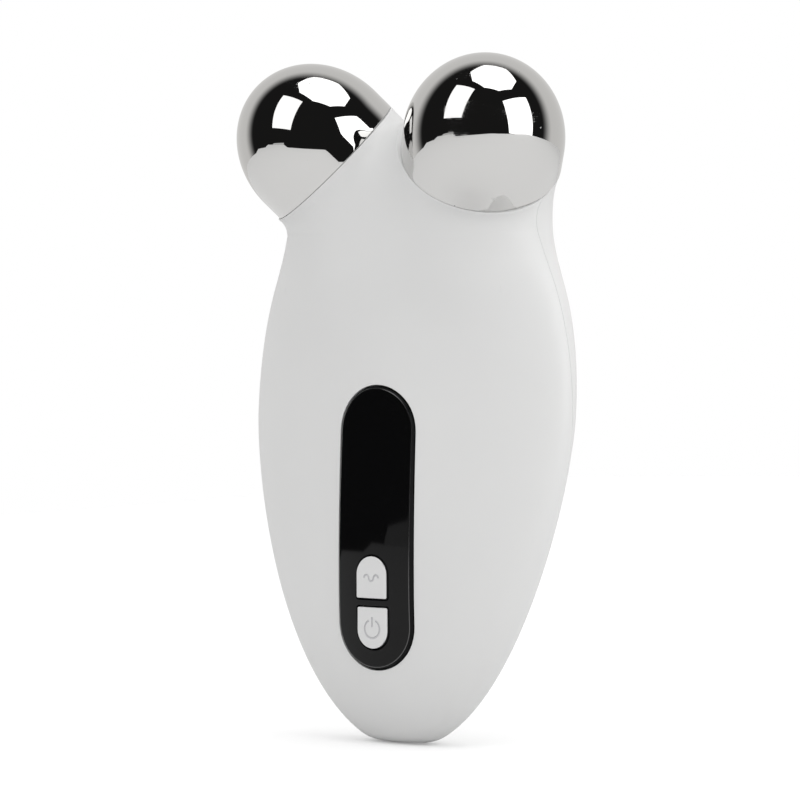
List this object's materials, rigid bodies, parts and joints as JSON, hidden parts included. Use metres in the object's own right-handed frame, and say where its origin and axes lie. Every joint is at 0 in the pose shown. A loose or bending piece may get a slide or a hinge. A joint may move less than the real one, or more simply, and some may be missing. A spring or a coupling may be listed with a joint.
{
  "type": "facial toning device",
  "caption": "Hand-held facial toning device with an egg-shaped handle, domed metal rollers on two horns, a display panel and push buttons.",
  "frame": {"origin": "centre of the charge port's mouth, on the flat at the tail of the handle", "axes": "+Z runs along the handle from the tail to the rollers, -Y is the front with the display panel, and X is across, with the symmetry plane at x = 0"},
  "size_m": [0.0594, 0.0292, 0.1055],
  "materials": {
    "shell": "satin off-white",
    "panel": "high gloss black",
    "tape": "foam",
    "button": "satin off-white",
    "seal": "soft",
    "display": "dark",
    "board": "lacquered",
    "chip": "moulded",
    "ceramic": "fired",
    "plunger": "moulded",
    "steel": "plain",
    "cell": "pouch foil",
    "lead": "insulated",
    "brass": "plain",
    "roller": "mirror polish",
    "hub": "moulded"
  },
  "bodies": {
    "handle": {"front_shell": "shell", "rear_shell": "shell", "display_panel": "panel", "panel_adhesive": "tape", "button_seal": "seal", "display_module": "display", "main_board": "board", "board_screws": "steel", "mode_switch": "steel", "power_switch": "steel", "control_chip": "chip", "charge_chip": "chip", "inductor": "chip", "capacitors": "ceramic", "battery": "cell", "battery_tape": "tape", "battery_leads": "lead", "charge_socket": "steel", "charge_tongue": "chip", "left_electrode_lead": "lead", "right_electrode_lead": "lead", "left_axle": "steel", "right_axle": "steel", "left_axle_nut": "steel", "right_axle_nut": "steel", "left_lead_tag": "brass", "right_lead_tag": "brass", "left_seal": "seal", "right_seal": "seal", "left_clip": "steel", "right_clip": "steel", "left_contact_spring": "steel", "right_contact_spring": "steel", "case_screws": "steel"},
    "left_roller": {"left_roller_shell": "roller", "left_roller_hub": "hub", "left_bushes": "brass"},
    "right_roller": {"right_roller_shell": "roller", "right_roller_hub": "hub", "right_bushes": "brass"},
    "mode_key": {"mode_button": "button"},
    "power_key": {"power_button": "button"},
    "mode_plunger": {"mode_switch_plunger": "plunger"},
    "power_plunger": {"power_switch_plunger": "plunger"}
  },
  "joints": [
    {"name": "left_roller_spin", "type": "hinge", "parent": "handle", "child": "left_roller", "pos_m": [-0.0139, 0.00135, 0.0901], "axis": [-0.4922, -0.524, 0.6951], "continuous": true},
    {"name": "right_roller_spin", "type": "hinge", "parent": "handle", "child": "right_roller", "pos_m": [0.0139, 0.00135, 0.0901], "axis": [0.4922, -0.524, 0.6951], "continuous": true},
    {"name": "mode_button_press", "type": "slide", "parent": "handle", "child": "mode_key", "axis": [0, 1, 0], "range_m": [0, 0.00035], "stiffness_N_per_m": 400},
    {"name": "power_button_press", "type": "slide", "parent": "handle", "child": "power_key", "axis": [0, 1, 0], "range_m": [0, 0.00035], "stiffness_N_per_m": 400},
    {"name": "mode_plunger_press", "type": "slide", "parent": "handle", "child": "mode_plunger", "axis": [0, 1, 0], "range_m": [0, 0.00035]},
    {"name": "power_plunger_press", "type": "slide", "parent": "handle", "child": "power_plunger", "axis": [0, 1, 0], "range_m": [0, 0.00035]}
  ],
  "couplings": [
    {"joint": "mode_plunger_press", "follows": "mode_button_press", "ratio": 1},
    {"joint": "power_plunger_press", "follows": "power_button_press", "ratio": 1}
  ]
}
